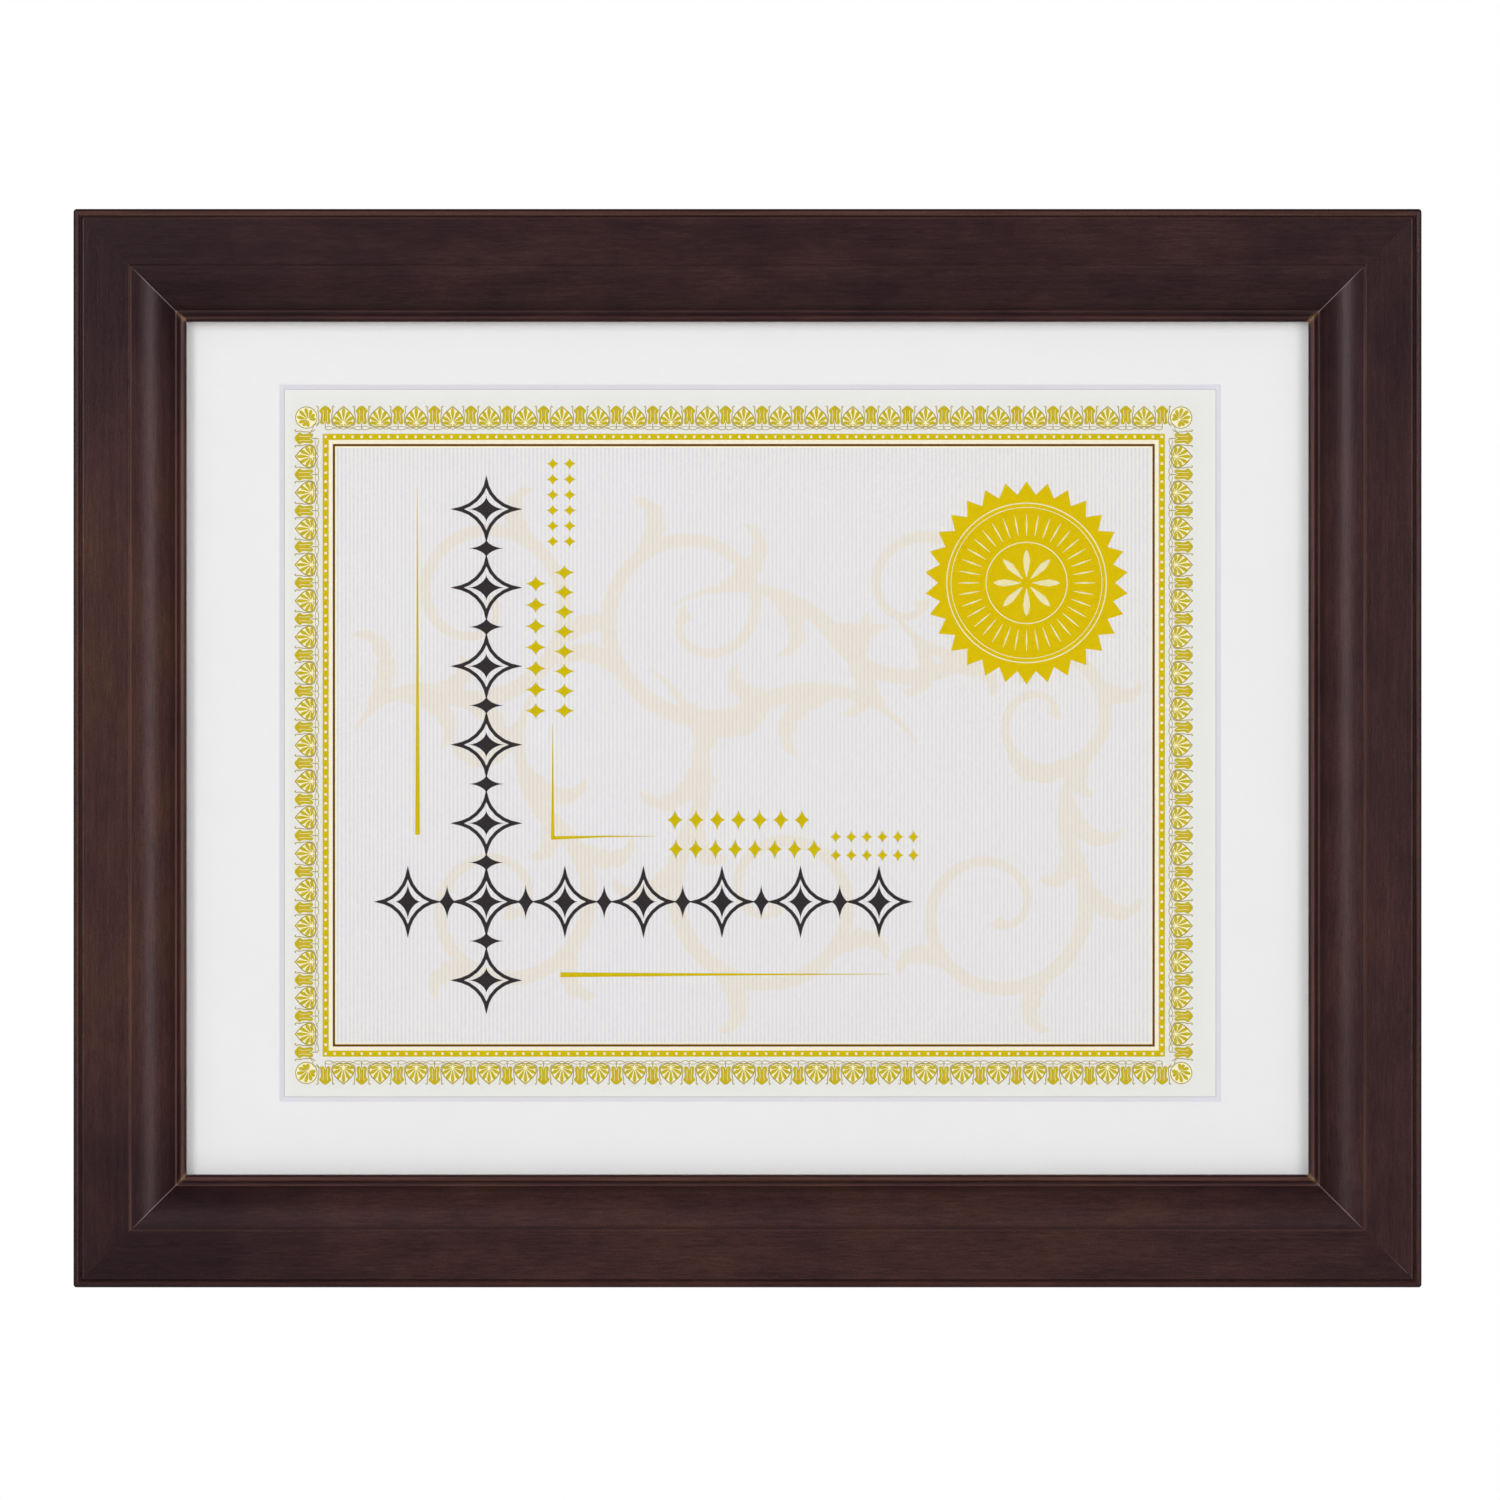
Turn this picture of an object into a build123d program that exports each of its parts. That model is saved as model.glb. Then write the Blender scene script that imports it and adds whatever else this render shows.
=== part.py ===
from build123d import *
import os

os.makedirs("parts", exist_ok=True)

# A wall-hung certificate frame. It is seen from the front, which faces -Y; +Z is up.
# The origin is where the wall nail bears: the middle notch of the upper hanger, on the
# back plane of the rails. All sizes are in millimetres.

# The sheet that the frame shows, and how far the mat reaches beyond it on each side
document_width = 279.4
document_height = 215.9
side_border = 25.4
top_border = 19.05
document_shift = -0.7
document_rise = 0.9

# The stack in the rabbet, from the front to the back
glass_thickness = 2.0
glass_seam = 0.25
mat_thickness = 1.5
mat_lap = 6.35
window_shift = 0.75
window_rise = 1.45
paper_thickness = 0.25
board_thickness = 3.0
board_ease = 0.4

# The moulding's section, outer edge to sight edge and back to front
rail_width = 31.75
rail_depth = 20.0
back_ease = 0.6
corner_round = 1.0
outer_bead_radius = 0.85
outer_bead_drop = 0.5
outer_quirk = 0.5
shoulder_radius = 0.7
flat_width = 15.9
arris_radius = 0.4
step_drop = 1.0
ridge_width = 0.6
ridge_rise = 0.9
sight_quirk = 0.5
sight_bead_radius = 1.075
lip_thickness = 2.5
rabbet_depth = 9.5
rabbet_clearance = 0.75
sight_lap = 6.35

# V-nails across each mitre
nail_leg = 5.0
nail_gauge = 0.5
nail_height = 7.0
nail_flange = 1.0
nail_place_shares = (0.32, 0.68)

# Turn buttons and their screws
button_thickness = 1.0
button_gap = 0.1
button_head_radius = 5.5
button_tip_radius = 3.2
button_reach = 15.0
button_bend_place = 9.5
button_bend_angle = 10
button_setback = 7.0
button_places_share = 0.5
side_button_places_share = 0.4
screw_radius = 1.45
screw_length = 11.0
screw_point = 3.0
screw_play = 0.08
screw_head_radius = 3.2
screw_head_edge = 0.9
screw_head_height = 1.8

# Sawtooth hangers and their brads
hanger_length = 45.0
hanger_web = 6.5
hanger_gauge = 0.9
hanger_rise = 1.7
hanger_tab = 9.0
hanger_joggle = 2.0
hanger_corner = 1.0
tooth_depth = 1.5
tooth_pitch = 2.4
tooth_land = 0.35
tooth_count = 9
brad_radius = 0.6
brad_length = 11.0
brad_head_radius = 1.5
brad_head_height = 0.6
brad_inset = 4.5

# How far a cutting solid runs past what it cuts
overrun = 5.0

# The overall sizes follow from the sheet, the mat and the moulding
pane_width = document_width + 2 * side_border
pane_height = document_height + 2 * top_border
window_width = document_width - 2 * mat_lap
window_height = document_height - 2 * mat_lap
frame_width = pane_width - 2 * sight_lap + 2 * rail_width
frame_height = pane_height - 2 * sight_lap + 2 * rail_width
back_width = rail_width - sight_lap - rabbet_clearance

# Each layer of the stack by the distance of its back face from the rails' back plane
glass_back = rabbet_depth - glass_thickness
mat_back = glass_back - mat_thickness
paper_back = mat_back - paper_thickness

# Heights of the section forward of the back plane
bead_spring = rail_depth - outer_bead_drop - outer_bead_radius
ovolo_top = rail_depth - step_drop
lip_front = rabbet_depth + lip_thickness
ridge_front = lip_front + ridge_rise

# Places across the section, in from the outer edge
quirk_inset = 2 * outer_bead_radius + outer_quirk
sight_bead_inset = rail_width - 2 * sight_bead_radius
ridge_end_inset = sight_bead_inset - sight_quirk
ridge_inset = ridge_end_inset - ridge_width

# The nail notch lies so that a hanger is centred on the back of its rail
notch_inset = back_width / 2 + (hanger_web - tooth_depth) / 2
pivot_inset = back_width - button_setback

front = Vector(0, -1, 0)
back = Vector(0, 1, 0)
frame_centre = Vector(0, 0, notch_inset - frame_height / 2)

# Outward direction, length and distance across the frame of each rail
rails = {
    "top": (Vector(0, 0, 1), frame_width, frame_height),
    "bottom": (Vector(0, 0, -1), frame_width, frame_height),
    "left": (Vector(-1, 0, 0), frame_height, frame_width),
    "right": (Vector(1, 0, 0), frame_height, frame_width),
}

# Which side rails meet at each corner, as signs along X and Z
corners = {
    "top_left": (-1, 1),
    "top_right": (1, 1),
    "bottom_left": (-1, -1),
    "bottom_right": (1, -1),
}


def layer(distance):
    """The plane parallel to the back and that far forward of it, looking to the front."""
    return Plane(origin=frame_centre + front * distance, x_dir=(1, 0, 0), z_dir=front)


def back_place(side, inset, along):
    """A plane on a rail's back: x runs in from the outer edge, z points to the wall."""
    outward, _, span = rails[side]
    run = outward.cross(back)
    origin = frame_centre + outward * (span / 2 - inset) + run * along
    return Plane(origin=origin, x_dir=-outward, z_dir=back)


def side_view(place):
    """The plane through a place that shows it from the side: x as before, y to the wall."""
    return Plane(origin=place.origin, x_dir=place.x_dir, z_dir=place.x_dir.cross(back))


def hanger_place(side):
    """The plane on a rail's back at its middle nail notch: x along the rail, y outward."""
    outward = rails[side][0]
    origin = back_place(side, notch_inset, 0).origin
    return Plane(origin=origin, x_dir=outward.cross(back), z_dir=back)


# Two turn buttons on each rail, named by where they sit as seen from the front
button_places = {}
for side, (outward, rail_length, _) in rails.items():
    if side in ("top", "bottom"):
        reach = button_places_share * rail_length / 2
        ends = (("left", -1), ("right", 1))
    else:
        reach = side_button_places_share * rail_length / 2
        ends = (("lower", -1), ("upper", 1))
    run = outward.cross(back)
    direction = 1 if run.X + run.Z > 0 else -1
    for end, sign in ends:
        button_places[f"{side}_{end}"] = (side, back_place(side, pivot_inset, sign * direction * reach))

hanger_places = {"landscape": ("top", hanger_place("top")), "portrait": ("right", hanger_place("right"))}
brad_places = [
    (sign * (hanger_length / 2 - brad_inset), (hanger_web - tooth_depth) / 2) for sign in (-1, 1)
]

# V-nails: bent steel strip, pressed in flush across the mitre, with flanged ends that draw
# the two rails together
corner_nails = {}
for corner, (x_sign, z_sign) in corners.items():
    with BuildPart() as v_nails:
        for share in nail_place_shares:
            inset = share * back_width
            with BuildSketch(layer(0)):
                with BuildLine():
                    apex = Vector(x_sign * (frame_width / 2 - inset), z_sign * (frame_height / 2 - inset))
                    level_end = apex - Vector(x_sign * nail_leg, 0)
                    upright_end = apex - Vector(0, z_sign * nail_leg)
                    flange = Vector(x_sign, z_sign) * nail_flange
                    Polyline(level_end - flange, level_end, apex, upright_end, upright_end - flange)
                trace(line_width=nail_gauge)
            extrude(amount=nail_height)
    v_nails.part.label = f"{corner}_v_nails"
    export_step(v_nails.part, f"parts/{corner}_v_nails.step")
    corner_nails[corner] = v_nails.part

# Rails: one stepped moulding with a beaded outer edge, a flat, an ovolo falling to a small
# ridge and a bead at the sight edge, rabbeted behind and mitred at both ends
for side, (outward, rail_length, span) in rails.items():
    run = outward.cross(back)
    near_corner = frame_centre + outward * span / 2 - run * rail_length / 2
    far_corner = near_corner + run * rail_length
    section_plane = Plane(origin=near_corner, x_dir=-outward, z_dir=run)
    with BuildPart() as rail:
        with BuildSketch(section_plane):
            with BuildLine():
                ThreePointArc(
                    (0, bead_spring),
                    (outer_bead_radius, bead_spring + outer_bead_radius),
                    (2 * outer_bead_radius, bead_spring),
                )
                Polyline(
                    (2 * outer_bead_radius, bead_spring),
                    (quirk_inset, bead_spring),
                    (quirk_inset, rail_depth - shoulder_radius),
                )
                TangentArc(
                    (quirk_inset, rail_depth - shoulder_radius),
                    (quirk_inset + shoulder_radius, rail_depth),
                    tangent=(0, 1),
                )
                Line((quirk_inset + shoulder_radius, rail_depth), (flat_width - arris_radius, rail_depth))
                TangentArc(
                    (flat_width - arris_radius, rail_depth),
                    (flat_width, rail_depth - arris_radius),
                    tangent=(1, 0),
                )
                Line((flat_width, rail_depth - arris_radius), (flat_width, ovolo_top))
                TangentArc((flat_width, ovolo_top), (ridge_inset, ridge_front), tangent=(1, 0))
                Polyline(
                    (ridge_inset, ridge_front),
                    (ridge_end_inset, ridge_front),
                    (ridge_end_inset, lip_front),
                    (sight_bead_inset, lip_front),
                )
                ThreePointArc(
                    (sight_bead_inset, lip_front),
                    (sight_bead_inset + sight_bead_radius, lip_front + sight_bead_radius),
                    (rail_width, lip_front),
                )
                Polyline(
                    (rail_width, lip_front),
                    (rail_width, rabbet_depth),
                    (back_width, rabbet_depth),
                    (back_width, 0),
                    (back_ease, 0),
                    (0, back_ease),
                    (0, bead_spring),
                )
            make_face()
        extrude(amount=rail_length)
        split(bisect_by=Plane(origin=near_corner, z_dir=outward + run), keep=Keep.TOP)
        split(bisect_by=Plane(origin=far_corner, z_dir=outward - run), keep=Keep.TOP)
        with BuildSketch(layer(0)):
            RectangleRounded(frame_width, frame_height, corner_round)
        extrude(amount=rail_depth, mode=Mode.INTERSECT)
        for corner, nails in corner_nails.items():
            if side in corner:
                add(nails, mode=Mode.SUBTRACT)
        with Locations(*[place for at, place in button_places.values() if at == side]):
            Hole(screw_radius, depth=screw_length)
        for at, place in hanger_places.values():
            if at == side:
                with Locations(place * Pos(*brad_places[0]), place * Pos(*brad_places[1])):
                    Hole(brad_radius, depth=brad_length)
    rail.part.label = f"{side}_rail"
    export_step(rail.part, f"parts/{side}_rail.step")

# Glass pane with seamed edges
with BuildPart() as glass_pane:
    with BuildSketch(layer(glass_back)):
        Rectangle(pane_width, pane_height)
    extrude(amount=glass_thickness)
    faces_by_depth = glass_pane.faces().sort_by(Axis.Y)
    chamfer(faces_by_depth[0].edges() + faces_by_depth[-1].edges(), glass_seam)
glass_pane.part.label = "glass_pane"
export_step(glass_pane.part, "parts/glass_pane.step")

# Mat board: its window is cut at 45 degrees, so it opens towards the glass
with BuildPart() as mat_board:
    with BuildSketch(layer(mat_back)):
        Rectangle(pane_width, pane_height)
    extrude(amount=mat_thickness)
    with BuildSketch(layer(mat_back)):
        with Locations((window_shift, window_rise)):
            Rectangle(window_width - 2 * mat_thickness, window_height - 2 * mat_thickness)
    extrude(amount=mat_thickness, taper=-45, mode=Mode.SUBTRACT)
mat_board.part.label = "mat_board"
export_step(mat_board.part, "parts/mat_board.step")

# Certificate: a loose sheet held flat behind the mat
with BuildPart() as certificate_sheet:
    with BuildSketch(layer(paper_back)):
        with Locations((document_shift, document_rise)):
            Rectangle(document_width, document_height)
    extrude(amount=paper_thickness)
certificate_sheet.part.label = "certificate_sheet"
export_step(certificate_sheet.part, "parts/certificate_sheet.step")

# Filler: a chipboard sheet that packs the rabbet between the certificate and the backing
with BuildPart() as filler_board:
    with BuildSketch(layer(board_thickness)):
        Rectangle(pane_width, pane_height)
    extrude(amount=paper_back - board_thickness)
filler_board.part.label = "filler_board"
export_step(filler_board.part, "parts/filler_board.step")

# Backing: a hardboard panel flush with the rails, its back edges eased
with BuildPart() as backing_board:
    with BuildSketch(layer(0)):
        Rectangle(pane_width, pane_height)
    extrude(amount=board_thickness)
    chamfer(backing_board.faces().sort_by(Axis.Y)[-1].edges(), board_ease)
backing_board.part.label = "backing_board"
export_step(backing_board.part, "parts/backing_board.step")

# Turn buttons: stamped strip with a round head on the screw and a tip that lifts a little,
# so that a finger can push it aside
for name, (_, place) in button_places.items():
    with BuildPart() as turn_button:
        with BuildSketch(side_view(place)):
            with BuildLine():
                middle = button_gap + button_thickness / 2
                flat = Line((-button_head_radius, middle), (button_bend_place, middle))
                PolarLine(flat @ 1, button_reach, button_bend_angle)
            trace(line_width=button_thickness)
        extrude(amount=button_head_radius, both=True)
        with BuildSketch(place):
            Circle(button_head_radius)
            with Locations((button_reach, 0)):
                Circle(button_tip_radius)
            make_hull()
        extrude(amount=button_reach, mode=Mode.INTERSECT)
        with Locations(place.offset(button_gap + button_thickness)):
            Hole(screw_radius + screw_play, depth=button_thickness)
    turn_button.part.label = f"turn_button_{name}"
    export_step(turn_button.part, f"parts/turn_button_{name}.step")

# Pan-head screws of the turn buttons, one shape turned at each pivot
head_seat = 2 * button_gap + button_thickness
with BuildPart() as button_screws:
    for _, place in button_places.values():
        with BuildSketch(side_view(place)):
            with BuildLine():
                Polyline(
                    (0, -screw_length),
                    (screw_radius, screw_point - screw_length),
                    (screw_radius, head_seat),
                    (screw_head_radius, head_seat),
                    (screw_head_radius, head_seat + screw_head_edge),
                    (0, head_seat + screw_head_height),
                    close=True,
                )
            make_face()
        revolve(axis=Axis(place.origin, place.z_dir))
button_screws.part.label = "button_screws"
export_step(button_screws.part, "parts/button_screws.step")

# Sawtooth hangers: a steel strip with two tabs on the wood and a raised middle whose
# toothed edge rides on the wall nail
for name, (_, place) in hanger_places.items():
    with BuildPart() as hanger:
        with BuildSketch(side_view(place)):
            with BuildLine():
                tab_start = hanger_length / 2 - hanger_tab
                bends = [
                    (-hanger_length / 2, 0),
                    (-tab_start, 0),
                    (hanger_joggle - tab_start, hanger_rise),
                    (tab_start - hanger_joggle, hanger_rise),
                    (tab_start, 0),
                    (hanger_length / 2, 0),
                ]
                Polyline(*bends)
                Polyline(*[(x, y + hanger_gauge) for x, y in bends])
                Line((-hanger_length / 2, 0), (-hanger_length / 2, hanger_gauge))
                Line((hanger_length / 2, 0), (hanger_length / 2, hanger_gauge))
            make_face()
        extrude(amount=hanger_web + overrun, both=True)
        with BuildSketch(place):
            with Locations((0, (hanger_web - tooth_depth) / 2)):
                strip = Rectangle(hanger_length, hanger_web + tooth_depth)
            chamfer(strip.vertices(), hanger_corner)
            notch = (tooth_pitch - tooth_land) / 2
            with GridLocations(tooth_pitch, 0, tooth_count, 1):
                Polygon((-notch, -tooth_depth), (notch, -tooth_depth), (0, 0), mode=Mode.SUBTRACT)
            with Locations(*brad_places):
                Circle(brad_radius, mode=Mode.SUBTRACT)
        extrude(amount=hanger_rise + overrun, mode=Mode.INTERSECT)
    hanger.part.label = f"{name}_hanger"
    export_step(hanger.part, f"parts/{name}_hanger.step")

    # Two flat-headed brads hold the tabs
    with BuildPart() as hanger_brads:
        for x, y in brad_places:
            brad_origin = (place * Pos(x, y)).position
            with BuildSketch(Plane(origin=brad_origin, x_dir=place.x_dir, z_dir=-place.y_dir)):
                with BuildLine():
                    Polyline(
                        (0, -brad_length),
                        (brad_radius, -brad_length),
                        (brad_radius, hanger_gauge),
                        (brad_head_radius, hanger_gauge),
                        (brad_head_radius, hanger_gauge + brad_head_height),
                        (0, hanger_gauge + brad_head_height),
                        close=True,
                    )
                make_face()
            revolve(axis=Axis(brad_origin, back))
    hanger_brads.part.label = f"{name}_hanger_brads"
    export_step(hanger_brads.part, f"parts/{name}_hanger_brads.step")
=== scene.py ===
import math

import bmesh
import bpy
from mathutils import Matrix, Vector


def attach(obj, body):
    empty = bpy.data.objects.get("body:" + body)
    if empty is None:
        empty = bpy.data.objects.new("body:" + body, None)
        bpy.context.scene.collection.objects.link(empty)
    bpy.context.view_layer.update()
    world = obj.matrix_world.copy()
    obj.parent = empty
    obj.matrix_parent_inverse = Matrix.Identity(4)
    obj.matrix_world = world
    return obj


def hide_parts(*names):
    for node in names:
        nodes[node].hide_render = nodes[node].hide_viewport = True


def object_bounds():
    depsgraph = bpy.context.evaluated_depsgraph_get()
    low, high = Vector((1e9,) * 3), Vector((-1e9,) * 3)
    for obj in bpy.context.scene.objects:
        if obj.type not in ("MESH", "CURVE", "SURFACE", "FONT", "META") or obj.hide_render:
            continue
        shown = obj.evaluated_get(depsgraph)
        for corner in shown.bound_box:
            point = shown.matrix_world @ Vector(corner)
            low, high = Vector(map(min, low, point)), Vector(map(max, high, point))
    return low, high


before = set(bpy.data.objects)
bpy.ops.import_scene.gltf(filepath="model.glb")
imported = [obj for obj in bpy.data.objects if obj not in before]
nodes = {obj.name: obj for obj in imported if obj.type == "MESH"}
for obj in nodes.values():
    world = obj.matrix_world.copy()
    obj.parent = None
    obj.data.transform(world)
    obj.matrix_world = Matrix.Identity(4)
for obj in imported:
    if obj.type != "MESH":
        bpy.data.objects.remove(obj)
cad_low, cad_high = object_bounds()


# RAILS. Four lengths of one poplar moulding, stained a dark espresso brown and lacquered on
# the face before they were cut. Mitred at both ends, glued and nailed; the backs are left as
# planed, so pale wood shows there with stain run over its edges.

def linear(code):
    """An sRGB hex colour in the linear values that a shader takes."""
    shares = [int(code[i:i + 2], 16) / 255 for i in (1, 3, 5)]
    return [s / 12.92 if s <= 0.04045 else ((s + 0.055) / 1.055) ** 2.4 for s in shares] + [1]


def fill(tree, node, settings):
    """Gives a node its settings: properties, plain values, links, the stops of a ramp, and a
    range that maps its first two numbers to its last two."""
    for key, value in settings.items():
        if key == "stops":
            marks = node.color_ramp.elements
            marks[0].position, marks[-1].position = value[0][0], value[-1][0]
            marks[0].color, marks[-1].color = value[0][1], value[-1][1]
            for place, shade in value[1:-1]:
                marks.new(place).color = shade
        elif key == "range":
            fill(tree, node, dict(zip(("From Min", "From Max", "To Min", "To Max"), value)))
        elif isinstance(key, str) and key[0].islower():
            setattr(node, key, value)
        elif isinstance(value, bpy.types.NodeSocket):
            tree.links.new(value, node.inputs[key])
        else:
            node.inputs[key].default_value = value
    return node


def add(tree, kind, settings):
    """Adds a shader node with its settings and links, and gives its outputs."""
    return fill(tree, tree.nodes.new("ShaderNode" + kind), settings).outputs


def finish(name, settings):
    """A new material with its constant settings on its shader: the tree and the shader."""
    made = bpy.data.materials.new(name)
    made.use_nodes = True
    shader = made.node_tree.nodes["Principled BSDF"]
    fill(made.node_tree, shader, settings)
    return made, made.node_tree, shader


def grey(share):
    """A grey in linear values."""
    return (share, share, share, 1)


# Section features, in millimetres in from the outer edge, and how far out the face begins
rail_edge, outer_bead, outer_crest, outer_quirk, shoulder = 0.5, 0.85, 1.5, 2.05, 2.6
step, ovolo_foot, ridge, sight_bead, rail_width = 15.9, 27.7, 28.75, 30.7, 31.75
rail_face_depth = 11.0


def stained_poplar(side, board, low_end, high_end, warmth, sight_wear_and_highlight, outer_wear_and_highlight, painted_step_highlight,
                   painted_step_shade, open_end):
    """Dark stain lies unevenly in poplar: warm and plum patches, faint streaks along the grain, thin and
    reddish on the arrises. The wood turns darker towards the mitres. Painted highlights lie on the
    arrises, the step's edge and the mitres, and painted shade in the quirks and on the steep faces. The
    satin lacquer gives a soft, slightly streaky sheen."""
    made, tree, shader = finish(f"stained_poplar_{side}", {
        "Coat Weight": 0.18, "Coat Roughness": 0.3, "Coat IOR": 1.5, "IOR": 1.45,
        "Specular IOR Level": 0.36, "Specular Tint": linear("#f0c8d2"),
    })
    place = add(tree, "TexCoord", {})
    axes = add(tree, "SeparateXYZ", {"Vector": place["Object"]})
    facing = add(tree, "SeparateXYZ", {"Vector": place["Normal"]})

    # Millimetres in from the outer edge, along from the middle and out from the back
    upright = side in ("left", "right")
    corner = cad_high if side in ("top", "right") else cad_low
    turn = -1000 if side in ("top", "right") else 1000
    edge = corner.x if upright else corner.z
    middle, size = (cad_low + cad_high) / 2, cad_high - cad_low
    across, run = (axes["X"], axes["Z"]) if upright else (axes["Z"], axes["X"])
    run_middle, run_size = (middle.z, size.z) if upright else (middle.x, size.x)
    half_length = run_size * 500
    inset = add(tree, "Math", {"operation": "MULTIPLY_ADD", 0: across, 1: turn, 2: -turn * edge})[0]
    along = add(tree, "Math", {"operation": "MULTIPLY_ADD", 0: run, 1: 1000, 2: -1000 * run_middle})[0]
    depth = add(tree, "Math", {"operation": "MULTIPLY", 0: axes["Y"], 1: -1000})[0]
    from_middle = add(tree, "Math", {"operation": "ABSOLUTE", 0: along})[0]
    to_end = add(tree, "Math", {"operation": "SUBTRACT", 0: half_length, 1: from_middle})[0]
    to_mitre = add(tree, "Math", {"operation": "SUBTRACT", 0: to_end, 1: inset})[0]
    shifted = add(tree, "Math", {"operation": "ADD", 0: along, 1: 900.0 * board})[0]
    wood = add(tree, "CombineXYZ", {"X": shifted, "Y": inset, "Z": depth})[0]

    # Patches of stain 20 to 30 mm long, streaks 1.3 mm wide and pores 0.5 mm wide
    patches = add(tree, "VectorMath", {"operation": "MULTIPLY", 0: wood, 1: (1 / 26, 1 / 13, 1 / 13)})[0]
    blotch = add(tree, "TexNoise", {"Vector": patches, "Scale": 1.0, "Detail": 4.0, "Roughness": 0.6})[0]
    grain = add(tree, "VectorMath", {"operation": "MULTIPLY", 0: wood, 1: (1 / 45, 1 / 1.3, 1 / 1.3)})[0]
    streak = add(tree, "TexNoise", {
        "Vector": grain, "Scale": 1.0, "Detail": 3.0, "Roughness": 0.65, "Distortion": 0.6,
    })[0]
    tube = add(tree, "VectorMath", {"operation": "MULTIPLY", 0: wood, 1: (1 / 5, 1 / 0.5, 1 / 0.5)})[0]
    pores = add(tree, "TexNoise", {"Vector": tube, "Scale": 1.0, "Detail": 2.0, "Roughness": 0.5})[0]
    pore = add(tree, "ValToRGB", {"Fac": pores, "stops": [(0.3, grey(0)), (0.42, grey(1))]})[0]

    # One dip of stain: plum and nearly black where it took most, and a warmer brown where it took less.
    # Each length also turns darker and plummer towards some of its ends, and warmer brown in its middle
    richness = add(tree, "MapRange", {"Value": blotch, "range": (
        0.34, 0.66, warmth - 0.2, warmth + 0.2)})[0]
    for sign, strength in ((1, low_end), (-1, high_end)):
        inward = add(tree, "Math", {"operation": "MULTIPLY_ADD", 0: along, 1: sign, 2: half_length})[0]
        ended = add(tree, "MapRange", {"interpolation_type": "SMOOTHSTEP", "Value": inward, "range": (
            8.0, 98.0, -strength, 0.0)})[0]
        richness = add(tree, "Math", {"operation": "ADD", 0: richness, 1: ended})[0]
    stain = add(tree, "ValToRGB", {"Fac": richness, "stops": [
        (0.0, linear("#231418")), (0.35, linear("#301d1d")), (0.65, linear("#3a241f")),
        (1.0, linear("#452c21")),
    ]})[0]
    shade = add(tree, "MapRange", {"Value": streak, "range": (0.3, 0.7, 0.86, 1.12)})[0]
    fleck = add(tree, "TexNoise", {"Vector": wood, "Scale": 1.9, "Detail": 2.0})[0]
    fleck = add(tree, "MapRange", {"Value": fleck, "range": (0.3, 0.7, 0.8, 1.2)})[0]
    fine = add(tree, "MapRange", {"Value": pores, "range": (0.3, 0.7, 0.76, 1.24)})[0]
    for factor in (fleck, fine):
        shade = add(tree, "Math", {"operation": "MULTIPLY", 0: shade, 1: factor})[0]
    toned = add(tree, "VectorMath", {"operation": "SCALE", 0: stain, "Scale": shade})[0]

    # Arrises rubbed thin, with painted highlights over them, strongest on the top rail's outer bead; on
    # the step's edge, a painted highlight alone
    across_share = add(tree, "Math", {"operation": "DIVIDE", 0: inset, 1: rail_width})[0]

    def band(marks):
        stops = [(0.0, grey(0))]
        for place_in, width, strength in marks:
            for offset, level in ((-width, 0), (-width / 3, strength), (width / 3, strength), (width, 0)):
                stops.append(((place_in + offset) / rail_width, grey(level)))
        return stops + [(1.0, grey(0))]

    rubbed_and_highlit = add(tree, "ValToRGB", {"Fac": across_share, "stops": band([
        (outer_bead, 0.4, 0.3 * outer_wear_and_highlight), (outer_crest, 0.35, 0.8 * outer_wear_and_highlight),
        (shoulder, 0.25, 0.2 * outer_wear_and_highlight), (step + 0.15, 0.42, painted_step_highlight),
        (ridge, 0.35, 0.4 * sight_wear_and_highlight), (sight_bead - 0.3, 0.8, 0.6 * sight_wear_and_highlight),
    ])})[0]
    # Quirks where the stain gathered, darkened further by painted shade, and painted shade on the outer
    # edge, inside the bottom rail's step, at the foot of the hollow and down the sight edge
    gathered_and_shaded = add(tree, "ValToRGB", {"Fac": across_share, "stops": band([
        (rail_edge, 0.4, 0.5), (outer_quirk, 0.28, 0.4), (step + 0.9, 0.7, painted_step_shade),
        (ovolo_foot, 1.1, 0.3), (rail_width - 0.4, 0.3, 0.6),
    ])})[0]
    wear_and_highlight_share = add(tree, "MapRange", {"Value": streak, "range": (0.35, 0.6)})[0]
    wear_and_highlight_share = add(tree, "MapRange", {"Value": wear_and_highlight_share, "range": (0, 1, 0.45, 1.0)})[0]
    on_face = add(tree, "Math", {"operation": "GREATER_THAN", 0: depth, 1: rail_face_depth})[0]
    wear_and_highlight_share = add(tree, "Math", {"operation": "MULTIPLY", 0: wear_and_highlight_share, 1: on_face})[0]
    thin_and_highlit = add(tree, "Math", {"operation": "MULTIPLY", 0: rubbed_and_highlit, 1: wear_and_highlight_share})[0]
    darker = add(tree, "Math", {"operation": "MULTIPLY", 0: gathered_and_shaded, 1: on_face})[0]
    # Pale stain with painted highlights, then darker stain with painted shade
    for share, tone in ((thin_and_highlit, "#6a483e"), (darker, "#1f0c0a")):
        toned = add(tree, "Mix", {"data_type": "RGBA", 0: share, 6: toned, 7: linear(tone)})[2]

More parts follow.
